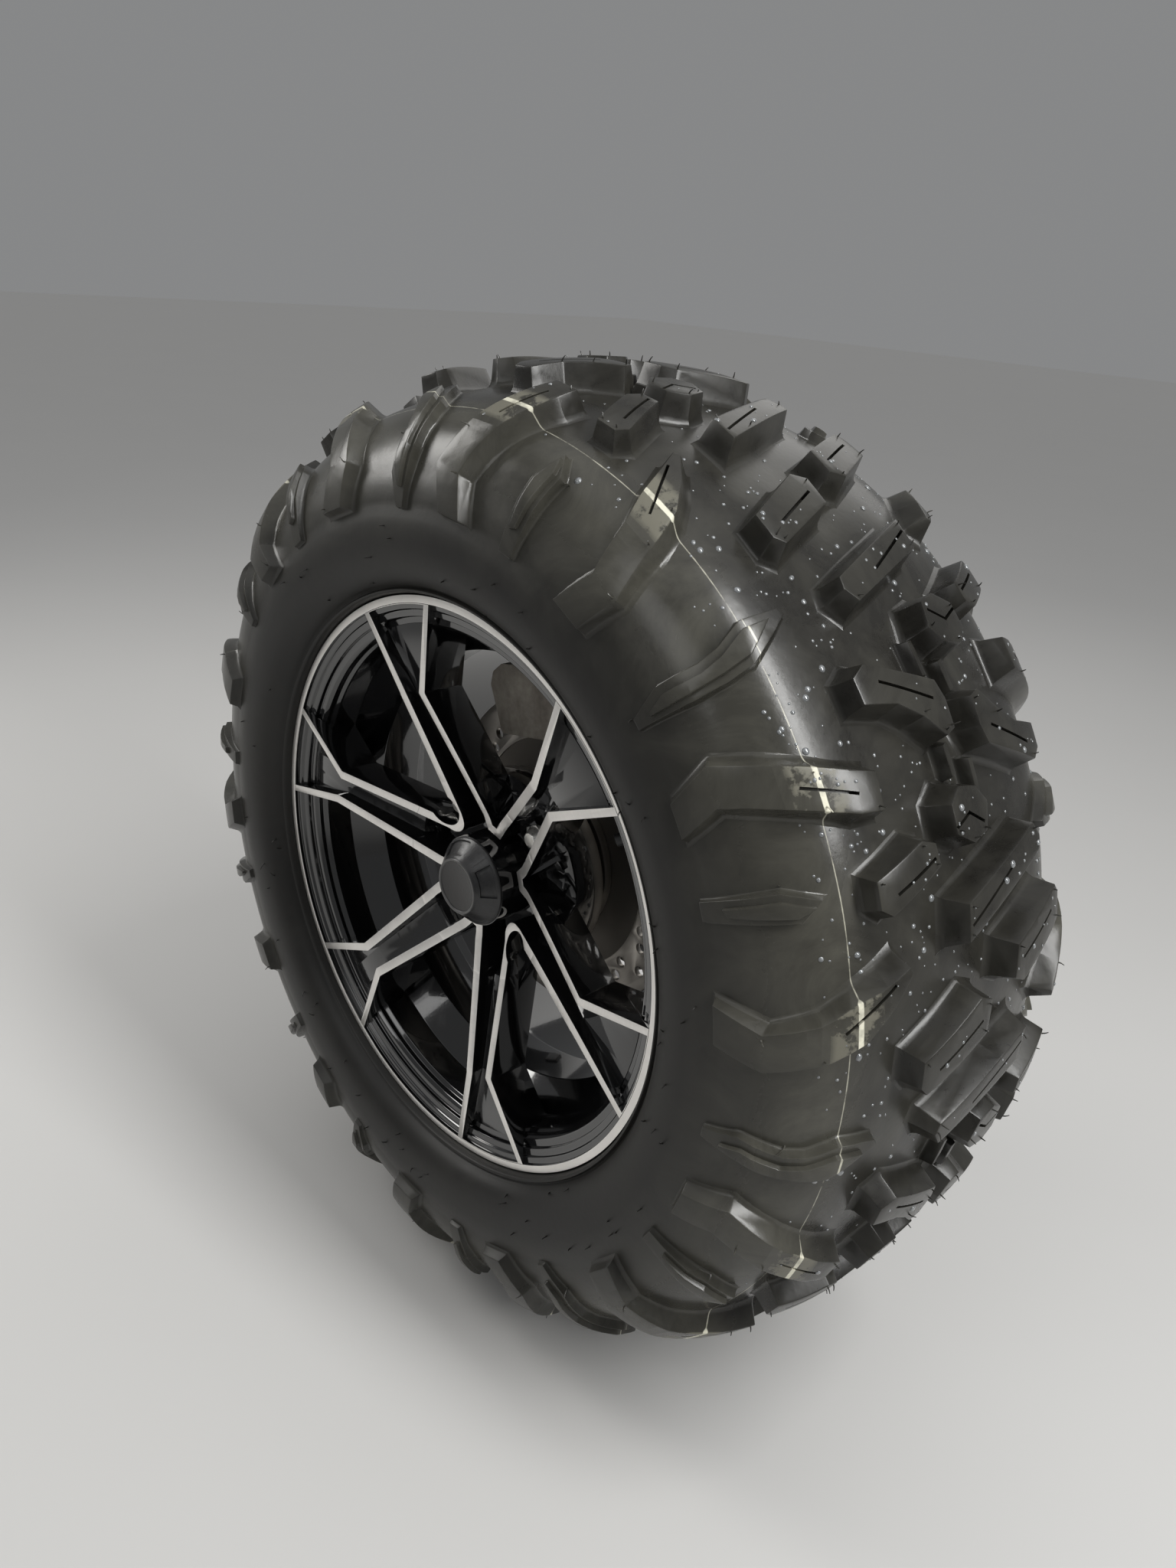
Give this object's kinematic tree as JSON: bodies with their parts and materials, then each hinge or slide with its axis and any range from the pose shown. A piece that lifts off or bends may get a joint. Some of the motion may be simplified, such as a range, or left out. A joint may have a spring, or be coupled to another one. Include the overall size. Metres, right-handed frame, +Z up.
{
  "type": "quad bike rear wheel with hub, disc brake and knuckle",
  "caption": "Left rear wheel end of a quad bike: lugged tyre on a spoked alloy rim, turning on a knuckle with arm bores, drilled brake disc and sliding caliper.",
  "frame": {"origin": "middle of the lower control arm's bore in the knuckle", "axes": "+X towards the vehicle's rear along the lower arm's bore, +Y inboard along the axle, +Z up; the wheel's outer face looks along -Y"},
  "size_m": [0.6719, 0.2816, 0.6723],
  "materials": {
    "tyre": "dark rubber with moulded lugs",
    "rim_paint": "gloss black with machined lip and rails",
    "cap_plastic": "satin charcoal plastic",
    "nut_chrome": "bright plated nuts",
    "bolt_steel": "zinc plated",
    "valve_rubber": "black rubber",
    "weight_metal": "dull grey",
    "hub_steel": "black coated",
    "bearing_steel": "ground steel",
    "disc_steel": "ground and worn by the pads",
    "knuckle_alloy": "cast, grey",
    "bush_plastic": "black plastic",
    "caliper_alloy": "cast, dusty grey",
    "bracket_iron": "dark coated",
    "pad_lining": "dark friction lining on a steel plate"
  },
  "bodies": {
    "knuckle": {"knuckle": "knuckle_alloy", "lower_sleeve": "bolt_steel", "upper_sleeve": "bolt_steel", "lower_bush_front": "bush_plastic", "lower_bush_rear": "bush_plastic", "upper_bush_front": "bush_plastic", "upper_bush_rear": "bush_plastic", "bearing_outer_race": "bearing_steel", "brake_caliper": "caliper_alloy", "caliper_bracket": "bracket_iron", "bracket_bolts": "bolt_steel", "slide_pins": "bolt_steel", "pad_outboard": "pad_lining", "pad_inboard": "pad_lining", "bleed_screw": "bolt_steel"},
    "wheel": {"tyre": "tyre", "rim_barrel": "rim_paint", "rim_centre": "rim_paint", "rim_spoke_1": "rim_paint", "rim_spoke_2": "rim_paint", "rim_spoke_3": "rim_paint", "rim_spoke_4": "rim_paint", "rim_spoke_5": "rim_paint", "rim_spoke_6": "rim_paint", "centre_cap": "cap_plastic", "lug_nut_1": "nut_chrome", "lug_nut_2": "nut_chrome", "lug_nut_3": "nut_chrome", "lug_nut_4": "nut_chrome", "wheel_stud_1": "bolt_steel", "wheel_stud_2": "bolt_steel", "wheel_stud_3": "bolt_steel", "wheel_stud_4": "bolt_steel", "valve_stem": "valve_rubber", "balance_weight": "weight_metal", "hub": "hub_steel", "bearing_inner_race": "bearing_steel", "brake_disc": "disc_steel", "disc_bolts": "bolt_steel"}
  },
  "joints": [
    {"name": "wheel_spin", "type": "hinge", "parent": "knuckle", "child": "wheel", "pos_m": [0, -0.048, 0.088], "axis": [0, 1, 0], "continuous": true}
  ]
}
